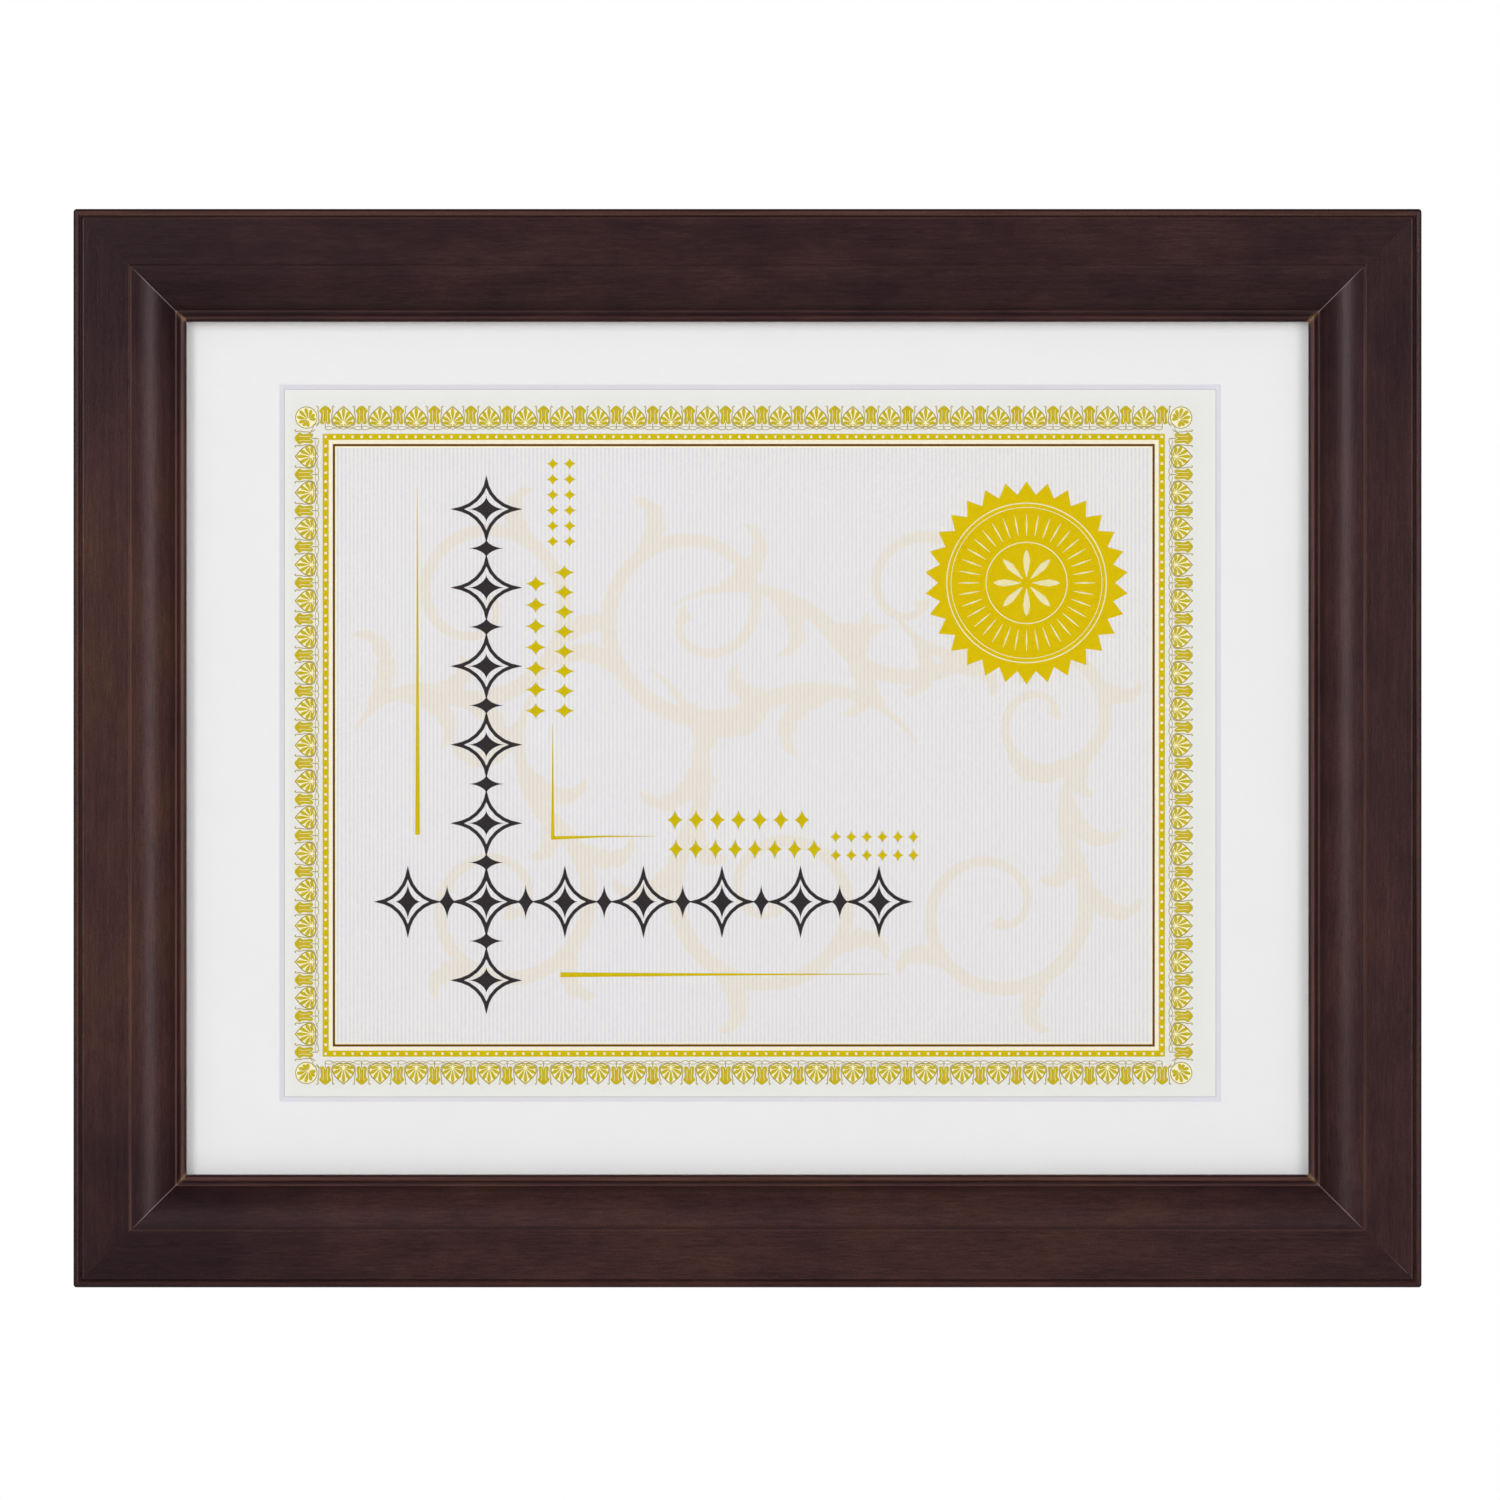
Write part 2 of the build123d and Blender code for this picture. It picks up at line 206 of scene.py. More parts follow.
    # The mitre, marked by a pale painted highlight: hardly seen on the flat, a little open at one corner
    # of the frame, a pale hairline on the hollow; with bare wood in specks by the sight bead
    by_mitre = add(tree, "MapRange", {"Value": to_mitre, "range": (0.09, 0.24, 1.0, 0.0)})[0]
    on_flat = add(tree, "Math", {"operation": "MULTIPLY", 0: along, 1: 0.3 * open_end})[0]
    on_flat = add(tree, "Math", {"operation": "MINIMUM", 0: on_flat, 1: 0.3})[0]
    shown = add(tree, "ValToRGB", {"Fac": across_share, "stops": [
        (place_in / rail_width, grey(level)) for place_in, level in (
            (3.8, 0.0), (4.6, 1.0), (8.0, 0.4), (12.0, 0.0))]})[0]
    on_flat = add(tree, "Math", {"operation": "MULTIPLY", 0: shown, 1: on_flat})[0]
    shown = add(tree, "MapRange", {"Value": inset, "range": (step, step + 4.1, 0, 0.7)})[0]
    shown = add(tree, "Math", {"operation": "MAXIMUM", 0: shown, 1: on_flat})[0]
    mitre_highlight = add(tree, "Math", {"operation": "MULTIPLY", 0: by_mitre, 1: shown})[0]
    toned = add(tree, "Mix", {"data_type": "RGBA", 0: mitre_highlight, 6: toned, 7: linear("#857474")})[2]
    speck = add(tree, "TexNoise", {"Vector": wood, "Scale": 1.6, "Detail": 1.0})[0]
    speck = add(tree, "MapRange", {"Value": speck, "range": (0.42, 0.54)})[0]
    by_sight = add(tree, "MapRange", {"Value": inset, "range": (ridge - 0.35, ridge + 0.65)})[0]
    near_mitre = add(tree, "MapRange", {"Value": to_mitre, "range": (0.3, 1.3, 0.8, 0.0)})[0]
    for factor in (by_sight, near_mitre):
        speck = add(tree, "Math", {"operation": "MULTIPLY", 0: speck, 1: factor})[0]
    toned = add(tree, "Mix", {"data_type": "RGBA", 0: speck, 6: toned, 7: linear("#7a5a3c")})[2]

    # The planed back: pale poplar with darker growth streaks, stained again at its edges
    ring = add(tree, "VectorMath", {"operation": "MULTIPLY", 0: wood, 1: (1 / 120, 1 / 3.5, 1 / 3.5)})[0]
    growth = add(tree, "TexNoise", {
        "Vector": ring, "Scale": 1.0, "Detail": 3.0, "Roughness": 0.55, "Distortion": 0.5,
    })[0]
    bare = add(tree, "ValToRGB", {"Fac": growth, "stops": [
        (0.3, linear("#a98658")), (0.5, linear("#c6a677")), (0.7, linear("#d2b78b")),
    ]})[0]
    open_pore = add(tree, "Mix", {"data_type": "RGBA", "blend_type": "MULTIPLY", 0: 0.35,
                                  6: bare, 7: pore})[2]
    run_over = add(tree, "Math", {"operation": "MULTIPLY_ADD", 0: streak, 1: 7.0, 2: -1.6})[0]
    run_over = add(tree, "Math", {"operation": "SUBTRACT", 0: run_over, 1: inset})[0]
    run_over = add(tree, "MapRange", {"Value": run_over, "range": (-0.6, 0.6)})[0]
    behind = add(tree, "Math", {"operation": "GREATER_THAN", 0: facing["Y"], 1: 0.9})[0]
    dry = add(tree, "Math", {"operation": "SUBTRACT", 0: 1.0, 1: run_over})[0]
    dry = add(tree, "Math", {"operation": "MULTIPLY", 0: dry, 1: behind})[0]
    colour = add(tree, "Mix", {"data_type": "RGBA", 0: dry, 6: toned, 7: open_pore})[2]

    sheen = add(tree, "MapRange", {"Value": streak, "range": (0, 1, 0.25, 0.37)})[0]
    # The lacquer lies thinner and duller on the hollow than on the flat
    on_hollow = add(tree, "MapRange", {"Value": inset, "range": (step, step + 0.3, 0, 0.07)})[0]
    sheen = add(tree, "Math", {"operation": "ADD", 0: sheen, 1: on_hollow})[0]
    dull = add(tree, "Mix", {"data_type": "FLOAT", 0: dry, 2: sheen, 3: 0.8})[0]
    # Lacquer draws back into an orange peel about a millimetre across
    peel = add(tree, "TexNoise", {"Vector": wood, "Scale": 0.9, "Detail": 2.0})[0]
    relief = add(tree, "Math", {"operation": "MULTIPLY_ADD", 0: pore, 1: 0.35, 2: streak})[0]
    relief = add(tree, "Math", {"operation": "MULTIPLY_ADD", 0: peel, 1: 0.8, 2: relief})[0]
    tooth = add(tree, "Bump", {"Height": relief, "Strength": 0.45, "Distance": 0.00008})[0]
    fill(tree, shader, {"Base Color": colour, "Roughness": dull, "Normal": tooth})
    return made


# How each rail looks: darker towards its left or lower end and towards the other, brown rather than plum,
# rubbed with a painted highlight at the sight edge and at the outer one, a painted highlight and painted
# shade along the step, and with its mitre open a hair at the right or upper end (1) or the other (-1)
rail_looks = {
    "top": (0.35, 0.15, 0.27, 0.3, 2.0, 0.1, 0.0, 0),
    "bottom": (0.6, 0.25, 0.54, 0.8, 0.4, 0.25, 0.5, 1),
    "left": (0.6, 0.8, 0.7, 1.0, 0.4, 0.9, 0.0, 0),
    "right": (0.15, 0.3, 0.42, 0.6, 0.4, 0.8, 0.0, -1),
}
for board, (side, looks) in enumerate(rail_looks.items()):
    nodes[f"{side}_rail"].material_slots[0].material = stained_poplar(side, board, *looks)


# V-NAILS. Eight bent strips of blued spring steel, pressed flush into the back of the
# mitres, two at each corner. Only their upper edges show, in the wood of the back.

blued, tree, shader = finish("blued_spring_steel", {"Metallic": 1.0})
# Blueing leaves a thin blue-black oxide, browner where the press has scraped it. Here and
# below, a scale is a thousand over the grain in millimetres, so that 900 stands for 1.1 mm.
place = add(tree, "TexCoord", {})["Object"]
scrape = add(tree, "TexNoise", {"Vector": place, "Scale": 900.0, "Detail": 3.0})[0]
oxide = add(tree, "ValToRGB", {"Fac": scrape, "stops": [
    (0.35, linear("#2c3440")), (0.55, linear("#4a5260")), (0.7, linear("#7d7670")),
]})[0]
rough = add(tree, "MapRange", {"Value": scrape, "range": (0, 1, 0.3, 0.55)})[0]
fill(tree, shader, {"Base Color": oxide, "Roughness": rough})
for corner in ("top_left", "top_right", "bottom_left", "bottom_right"):
    nodes[f"{corner}_v_nails"].material_slots[0].material = blued


# GLASS. A 2 mm pane of clear float glass, cut to size and seamed along its edges. It is laid
# into the rabbet first, against the lips of the rails.

float_glass, tree, shader = finish("float_glass", {})
# Floated on tin, so it is flat and bright: it lets nearly all light through and mirrors a
# twenty-third of it head on, all of it edge on. A trace of dust softens the mirror in places.
head_on = 0.043
tree.nodes.remove(shader)
place = add(tree, "TexCoord", {})["Object"]
dust = add(tree, "TexNoise", {"Vector": place, "Scale": 35.0, "Detail": 4.0})[0]
film = add(tree, "MapRange", {"Value": dust, "range": (0.4, 0.7, 0.01, 0.05)})[0]
through = add(tree, "BsdfTransparent", {"Color": linear("#fdfdfd")})[0]
mirror = add(tree, "BsdfGlossy", {"Color": grey(1), "Roughness": film})[0]
slant = add(tree, "LayerWeight", {"Blend": 0.5})["Facing"]
slant = add(tree, "Math", {"operation": "POWER", 0: slant, 1: 5.0})[0]
share = add(tree, "Math", {"operation": "MULTIPLY_ADD", 0: slant, 1: 1 - head_on, 2: head_on})[0]
pane = add(tree, "MixShader", {0: share, 1: through, 2: mirror})[0]
fill(tree, tree.nodes["Material Output"], {"Surface": pane})

panel_middle = (cad_low + cad_high) / 2


def at(x, z, depth):
    """A point in the object's own millimetres, from the frame's middle and the back plane."""
    return Vector((panel_middle.x + x / 1000, -depth / 1000, panel_middle.z + z / 1000))


def as_object(name, made):
    """Turns a bmesh into an object."""
    bmesh.ops.recalc_face_normals(made, faces=made.faces)
    mesh = bpy.data.meshes.new(name)
    made.to_mesh(mesh)
    made.free()
    shape = bpy.data.objects.new(name, mesh)
    bpy.context.scene.collection.objects.link(shape)
    return shape


def piece(name, made, stuff, body="root"):
    """Turns a bmesh into a piece of the object, riding on a CAD body."""
    shape = as_object(name, made)
    shape.data.materials.append(stuff)
    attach(shape, body)
    return shape


# Its faces are a hair clear of the mat and of the lips
pane_wide, pane_high, pane_thick, pane_middle, pane_seam = 330.2, 254.0, 1.96, 8.5, 0.25
sheet_of_glass = bmesh.new()
bmesh.ops.create_cube(sheet_of_glass, size=1.0)
for corner in sheet_of_glass.verts:
    corner.co = at(corner.co.x * pane_wide, corner.co.z * pane_high,
                   pane_middle - corner.co.y * pane_thick)
bmesh.ops.bevel(sheet_of_glass, geom=sheet_of_glass.edges, offset=pane_seam / 1000, segments=2,
                affect="EDGES")
seamed = piece("glass_pane_seamed", sheet_of_glass, float_glass)
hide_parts("glass_pane")


# MAT. White mounting board with a window cut by a slanted blade, so that a bevel of its core
# shows all round. It lies against the glass and holds the certificate down by its edges.

# Where the mat's back lies, and between which heights above it the bevel's foot is painted grey as shadow
mat_back, shadow_line_from, shadow_line_to = 6.0, 0.35, 0.05
mount_board, tree, shader = finish("white_mount_board", {
    "Specular IOR Level": 0.3, "Sheen Weight": 0.05,
})
# Surface paper with a fine tooth; the cut core is cooler, and painted grey in its last hair's breadth as
# the shadow where the bevel meets the certificate
place = add(tree, "TexCoord", {})
axes = add(tree, "SeparateXYZ", {"Vector": place["Object"]})
facing = add(tree, "SeparateXYZ", {"Vector": place["Normal"]})
tooth = add(tree, "TexNoise", {"Vector": place["Object"], "Scale": 1400.0, "Detail": 3.0})[0]
cloud = add(tree, "TexNoise", {"Vector": place["Object"], "Scale": 30.0, "Detail": 3.0})[0]
paper = add(tree, "Mix", {"data_type": "RGBA", 0: cloud, 6: linear("#efeff1"), 7: linear("#f2f2f3")})[2]
cut = add(tree, "Math", {"operation": "GREATER_THAN", 0: facing["Y"], 1: -0.85})[0]
painted_shadow_line = add(tree, "MapRange", {"Value": axes["Y"], "range": (
    -(mat_back + shadow_line_from) / 1000, -(mat_back + shadow_line_to) / 1000)})[0]
core = add(tree, "Mix", {"data_type": "RGBA", 0: painted_shadow_line, 6: linear("#eae8f2"), 7: linear("#cac8d0")})[2]
colour = add(tree, "Mix", {"data_type": "RGBA", 0: cut, 6: paper, 7: core})[2]
relief = add(tree, "Bump", {"Height": tooth, "Strength": 0.1, "Distance": 0.00001})[0]
fill(tree, shader, {"Base Color": colour, "Roughness": 0.85, "Normal": relief})
nodes["mat_board"].material_slots[0].material = mount_board


# CERTIFICATE. A loose printed sheet: a row of palmettes and buds in gold ink, a beaded gold
# band and a brown rule round a laid panel, and on it pale scrolls, chains and rows of stars,
# tapered rules and a gold seal. It is held between the mat and the filler.

# The print's middle, a little off the sheet's, then the band and its beads, the rule inside
# it and the rows of motifs outside it, all in millimetres
sheet_face = mat_back
print_x, print_z = -1.07, 0.84
band_half_x, band_half_z, band_width = 119.33, 88.25, 1.73
rule_inset, rule_width, stripe_past_rule = 3.2, 0.66, 0.8
bead_pitch, bead_radius = 2.54, 0.42
row_base, row_pitch_x, row_pitch_z, row_count_x, row_count_z = 1.85, 10.31, 10.23, 23, 17
wire_pitch = 1.13
# Levels of ink: what lies over other ink stands a little higher on the sheet
stem_face, next_stem, leaf_rise, next_leaf = sheet_face + 0.002, 0.001, 0.007, 0.0002
wash, stripe_face, lace, wave, motif, curl_face, heart, vein, bead_face = [
    sheet_face + rise for rise in (0.012, 0.014, 0.016, 0.018, 0.02, 0.021, 0.024, 0.026, 0.03)]
small_stars, rules_face, lower_chain, upper_chain, seal_face, seal_print = [
    sheet_face + rise for rise in (0.022, 0.024, 0.026, 0.034, 0.06, 0.075)]


def laid_paper(name, margin, panel, lines):
    """Laid paper shows the wires that it was drained on as fine upright lines, cooler than
    the paper between them. The real ones are half a millimetre apart and too fine to show,
    so they are drawn twice as coarse."""
    made, tree, shader = finish(name, {"Specular IOR Level": 0.15})
    place = add(tree, "TexCoord", {})["Object"]
    axes = add(tree, "SeparateXYZ", {"Vector": place})
    fibre = add(tree, "TexNoise", {"Vector": place, "Scale": 900.0, "Detail": 4.0})[0]
    phase = add(tree, "Math", {"operation": "MULTIPLY", 0: axes["X"], 1: 2000 * math.pi / wire_pitch})[0]
    wire = add(tree, "Math", {"operation": "SINE", 0: phase})[0]
    wire = add(tree, "MapRange", {"Value": wire, "range": (-0.4, 1.0)})[0]
    patchy = add(tree, "MapRange", {"Value": fibre, "range": (0.3, 0.7, 0.4, 0.8)})[0]
    wire = add(tree, "Math", {"operation": "MULTIPLY", 0: wire, 1: patchy})[0]
    ground = add(tree, "Mix", {"data_type": "RGBA", 0: wire, 6: linear(panel), 7: linear(lines)})[2]
    reach = []
    for axis, middle, half in (
        ("X", panel_middle.x + print_x / 1000, band_half_x - rule_inset),
        ("Z", panel_middle.z + print_z / 1000, band_half_z - rule_inset),
    ):
        off = add(tree, "Math", {"operation": "SUBTRACT", 0: axes[axis], 1: middle})[0]
        off = add(tree, "Math", {"operation": "ABSOLUTE", 0: off})[0]
        reach.append(add(tree, "Math", {"operation": "LESS_THAN", 0: off, 1: half / 1000})[0])
    inside = add(tree, "Math", {"operation": "MULTIPLY", 0: reach[0], 1: reach[1]})[0]
    colour = add(tree, "Mix", {"data_type": "RGBA", 0: inside, 6: linear(margin), 7: ground})[2]
    relief = add(tree, "Bump", {"Height": fibre, "Strength": 0.1, "Distance": 0.00001})[0]
    fill(tree, shader, {"Base Color": colour, "Roughness": 0.8, "Normal": relief})
    return made


def printed(name, colour, darker, scale):
    """Ink on paper: solid and flat, a little uneven where the paper drank it."""
    made, tree, shader = finish(name, {"Specular IOR Level": 0.05})
    place = add(tree, "TexCoord", {})["Object"]
    uneven = add(tree, "TexNoise", {"Vector": place, "Scale": scale, "Detail": 3.0})[0]
    ink = add(tree, "Mix", {"data_type": "RGBA", 0: uneven, 6: linear(colour), 7: linear(darker)})[2]
    rough = add(tree, "MapRange", {"Value": uneven, "range": (0, 1, 0.5, 0.7)})[0]
    fill(tree, shader, {"Base Color": ink, "Roughness": rough})
    return made


def patch(ink, outline, level):
    """A thin closed slab of ink with that outline, standing on the sheet's face."""
    front = [ink.verts.new(at(x, z, level)) for x, z in outline]
    back = [ink.verts.new(at(x, z, sheet_face)) for x, z in outline]
    ink.faces.new(front)
    ink.faces.new(back[::-1])
    for i in range(len(outline)):
        j = (i + 1) % len(outline)
        ink.faces.new((front[i], back[i], back[j], front[j]))


def stroke(ink, path, widths, level, closed=False):
    """A thin closed slab of ink along a path, as wide at each point as widths says, with
    mitred bends that are kept short where they are sharp."""
    path = [Vector(p) for p in path]
    last = len(path) - 1
    rows = []
    for i, point in enumerate(path):
        before = path[i - 1] if i > 0 or closed else point * 2 - path[1]
        after = path[(i + 1) % len(path)] if i < last or closed else point * 2 - path[last - 1]
        into, out = (point - before).normalized(), (after - point).normalized()
        side = Vector((-into.y - out.y, into.x + out.x)).normalized()
        width = widths[i] if isinstance(widths, (list, tuple)) else widths
        side *= width / 2 / max(side.dot(Vector((-into.y, into.x))), 0.3)
        left, right = point + side, point - side
        rows.append([ink.verts.new(at(*left, level)), ink.verts.new(at(*right, level)),
                     ink.verts.new(at(*right, sheet_face)), ink.verts.new(at(*left, sheet_face))])
    pairs = list(zip(rows, rows[1:])) + ([(rows[-1], rows[0])] if closed else [])
    for a, b in pairs:
        for k in range(4):
            ink.faces.new((a[k], a[(k + 1) % 4], b[(k + 1) % 4], b[k]))
    if not closed:
        ink.faces.new(rows[0][::-1])
        ink.faces.new(rows[-1])


def print_piece(name, made, ink):
    """Ink has no thickness to speak of, so it casts no shadow on the ink below it."""
    shape = piece(name, made, ink)
    shape.visible_shadow = False


def oblong(half_x, half_z):
    """The corners of a rectangle round the print's middle."""
    signs = ((-1, -1), (1, -1), (1, 1), (-1, 1))
    return [(print_x + sx * half_x, print_z + sz * half_z) for sx, sz in signs]


def circle(x, z, radius, steps):
    """Points spread evenly round a circle."""
    angles = [2 * math.pi * k / steps for k in range(steps)]
    return [(x + radius * math.cos(angle), z + radius * math.sin(angle)) for angle in angles]


nodes["certificate_sheet"].material_slots[0].material = laid_paper(
    "laid_paper", "#ecece9", "#efedea", "#d5d5e5")
gold_ink = printed("gold_ink", "#d7c200", "#c9b200", 700.0)
amber_ink = printed("amber_ink", "#dbb82e", "#d2a81c", 700.0)
old_gold_ink = printed("old_gold_ink", "#ccba22", "#bfae1a", 700.0)
pale_gold_ink = printed("pale_gold_ink", "#fdf9d8", "#faf3c6", 700.0)
line_ink = printed("bronze_line_ink", "#b3a03c", "#a59230", 900.0)
brown_ink = printed("brown_ink", "#6e4a00", "#644000", 900.0)
cream_ink = printed("cream_ink", "#f6efcd", "#f2eabf", 900.0)
dark_ink = printed("charcoal_ink", "#2f2a2c", "#3a3436", 900.0)
scroll_ink = laid_paper("beige_scroll_ink", "#eee8dc", "#eee8dc", "#d8d2d2")

# Beaded band, and a brown rule on a cream stripe
band = bmesh.new()
stroke(band, oblong(band_half_x - band_width / 2, band_half_z - band_width / 2), band_width,
       motif, closed=True)
print_piece("certificate_gold_band", band, gold_ink)
beads = bmesh.new()
for half, other, across in ((band_half_x, band_half_z, True), (band_half_z, band_half_x, False)):
    run = half - band_width / 2
    steps = round(2 * run / bead_pitch)
    for sign in (-1, 1):
        for i in range(steps + (1 if across else 0)):
            if not across and i == 0:
                continue
            place_run, place_off = -run + 2 * run * i / steps, sign * (other - band_width / 2)
            x, z = (place_run, place_off) if across else (place_off, place_run)
            patch(beads, circle(print_x + x, print_z + z, bead_radius, 12), bead_face)
print_piece("certificate_beads", beads, cream_ink)
stripe = bmesh.new()
stripe_width = rule_inset + stripe_past_rule - band_width
stripe_middle = band_width + stripe_width / 2
stroke(stripe, oblong(band_half_x - stripe_middle, band_half_z - stripe_middle), stripe_width,
       stripe_face, closed=True)
print_piece("certificate_cream_stripe", stripe, printed("cream_stripe_ink", "#fdf5df", "#fbf2d9", 900.0))
rule = bmesh.new()
stroke(rule, oblong(band_half_x - rule_inset, band_half_z - rule_inset), rule_width, motif,
       closed=True)
print_piece("certificate_brown_rule", rule, brown_ink)

# The ornament is drawn once with its foot at the origin and then set along each side
arch = [(0.0, 5.9), (0.7, 5.3), (1.45, 4.65), (2.2, 3.9), (2.8, 3.0), (3.05, 2.2), (2.95, 1.3),
        (2.4, 0.55), (1.3, 0.1)]
arch = arch + [(0.0, 0.25)] + [(-x, z) for x, z in reversed(arch[1:])]
petals = [(0, 4.25), (28, 3.75), (60, 3.2), (91, 2.75)]
fan_foot = 1.25
petal_shares = ((0.14, 0.14), (0.4, 0.52), (0.7, 0.98), (0.9, 0.84), (1.0, 0.3))
base_wave = [(0.7, -0.35), (1.6, 0.1), (2.6, -0.1), (3.4, -0.6), (4.3, -0.75), (5.15, -0.5)]
base_wave = [(-x, z) for x, z in reversed(base_wave)] + [(0.0, -0.6)] + base_wave
lace_wave = [(x, -0.45 - z) for x, z in base_wave]
fan_curl = [(0.15, 0.75), (0.75, 0.6), (1.4, 0.75), (1.95, 1.2), (1.75, 1.6)]
bud = [(0.0, 1.9), (0.2, 1.3), (0.55, 0.9), (1.0, 0.8), (1.42, 1.1), (1.46, 1.7), (1.32, 2.6),
       (1.22, 3.4), (1.3, 4.0), (1.68, 4.35), (1.74, 4.8), (1.4, 5.15), (1.02, 5.5), (0.5, 5.95)]
bud = bud + [(0.0, 6.1)] + [(-x, z) for x, z in reversed(bud[1:])]
bud_heart = [(0.0, 2.3), (0.18, 2.9), (0.14, 3.6), (0.24, 4.5), (0.28, 5.0), (0.0, 5.3),
             (-0.28, 5.0), (-0.24, 4.5), (-0.14, 3.6), (-0.18, 2.9)]
bud_vein = [(0.62, 1.5), (0.6, 2.6), (0.5, 3.6), (0.66, 4.9)]
bud_stem = [(0.0, -0.5), (0.0, 0.4), (0.0, 1.3)]
tendril = [(2.55, 5.7), (2.2, 6.0), (1.95, 5.6), (2.1, 4.9), (2.02, 4.2), (1.84, 3.4), (1.85, 2.6),
           (1.76, 1.8), (1.95, 1.0), (2.5, 0.25)]


def row_of(side):
    """Origin, direction along and direction outward for each side's row."""
    angle = math.radians({"top": 0, "left": 90, "bottom": 180, "right": 270}[side])
    half = band_half_z if side in ("top", "bottom") else band_half_x
    along = Vector((math.cos(angle), math.sin(angle)))
    outward = Vector((-math.sin(angle), math.cos(angle)))
    return Vector((print_x, print_z)) + outward * (half + row_base), along, outward


def placed(points, origin, along, outward):
    """A motif's points where it stands in its row."""
    return [origin + along * x + outward * z for x, z in points]


fans, grounds, outlines, buds, hearts, veins = [bmesh.new() for _ in range(6)]


def draw_fan(origin, along, outward, spread, foot):
    """Petals that spread from a foot, given by their angles and lengths."""
    centre = Vector((0, foot))
    for angle, length in [(-a, n) for a, n in reversed(spread[1:])] + spread:
        tilt = math.radians(angle)
        ray = Vector((math.sin(tilt), math.cos(tilt)))
        line = [centre + ray * length * s for s, _ in petal_shares]
        stroke(fans, placed(line, origin, along, outward), [w for _, w in petal_shares], motif)


for side, count, pitch in (("top", row_count_x, row_pitch_x), ("bottom", row_count_x, row_pitch_x),
                           ("left", row_count_z, row_pitch_z), ("right", row_count_z, row_pitch_z)):
    start, along, outward = row_of(side)
    for i in range(count):
        foot = start + along * pitch * (i - (count - 1) / 2)
        patch(grounds, placed(arch, foot, along, outward), wash)
        draw_fan(foot, along, outward, petals, fan_foot)
        stroke(outlines, placed(arch, foot, along, outward), 0.3, motif, closed=True)
        stroke(outlines, placed(base_wave, foot, along, outward), 0.2, wave)
        stroke(outlines, placed(lace_wave, foot, along, outward), 0.16, lace)
        for sign in (-1, 1):
            curled = [(sign * x, z) for x, z in fan_curl]
            stroke(fans, placed(curled, foot, along, outward), 0.34, curl_face)
    for i in range(count + 1):
        foot = start + along * pitch * (i - count / 2)
        patch(buds, placed(bud, foot, along, outward), motif)
        for sign in (-1, 1):
            curled = [(sign * x, z) for x, z in tendril]
            stroke(outlines, placed(curled, foot, along, outward), 0.25, motif)
            bowed = [(sign * x, z) for x, z in bud_vein]
            stroke(veins, placed(bowed, foot, along, outward), 0.12, vein)
        patch(hearts, placed(bud_heart, foot, along, outward), heart)
        stroke(outlines, placed(bud_stem, foot, along, outward), 0.24, motif)

# A round shell turns each corner
shell = [(0, 3.6), (30, 3.4), (60, 2.9), (92, 2.3), (128, 2.0)]
shell_foot, shell_radius, shell_out = -0.9, 3.05, 4.6
shell_ring = circle(0.0, 0.0, shell_radius, 20)
shell_curl = [(-3.6, -3.4), (-2.2, -3.9), (-0.8, -3.4), (0, -2.9), (0.8, -3.4), (2.2, -3.9),
              (3.6, -3.4)]
for sx in (-1, 1):
    for sz in (-1, 1):
        outward = Vector((sx, sz)).normalized()
        along = Vector((outward.y, -outward.x))
        foot = Vector((print_x + sx * (band_half_x + shell_out),
                       print_z + sz * (band_half_z + shell_out)))
        draw_fan(foot, along, outward, shell, shell_foot)
        patch(grounds, placed(shell_ring, foot, along, outward), wash)
        stroke(outlines, placed(shell_ring, foot, along, outward), 0.25, motif, closed=True)
        stroke(outlines, placed(shell_curl, foot, along, outward), 0.2, wave)
print_piece("certificate_palmette_grounds", grounds, pale_gold_ink)
print_piece("certificate_palmettes", fans, old_gold_ink)
print_piece("certificate_palmette_lines", outlines, line_ink)
print_piece("certificate_buds", buds, old_gold_ink)
print_piece("certificate_bud_hearts", hearts, amber_ink)
print_piece("certificate_bud_veins", veins, pale_gold_ink)

# Pale scrolls on the panel: stems that run in, coil and end in a knob, with lobed leaves
scrolls = bmesh.new()


def winding(x, z, radius, start, turns, hand, wide, tail, level):
    """A stem that runs in along its tail and coils inwards: draws it and gives its path."""
    tail_steps, coil_steps, tail_bend, inner_radius = 16, 47, math.radians(95), 2.6
    first = math.radians(start)
    heading = first - hand * math.pi / 2
    point = Vector((x + radius * math.cos(first), z + radius * math.sin(first)))
    path, widths = [], []
    for k in range(tail_steps):
        path.insert(0, point.copy())
        widths.append(0.6 + wide * (k / (tail_steps - 1)) ** 0.8 if k < tail_steps - 1 else wide)
        point += Vector((math.cos(heading), math.sin(heading))) * tail / tail_steps
        heading += hand * tail_bend / tail_steps
    for i in range(1, coil_steps + 1):
        share = i / coil_steps
        angle = first + hand * share * turns * 2 * math.pi
        reach = radius * (1 - share) ** 0.8 + inner_radius * share
        path.append(Vector((x + reach * math.cos(angle), z + reach * math.sin(angle))))
        widths.append(wide * (1.0 - 0.62 * share if share < 0.93 else 0.42 + 8.5 * (share - 0.93)))
    stroke(scrolls, path, widths, level)
    return path


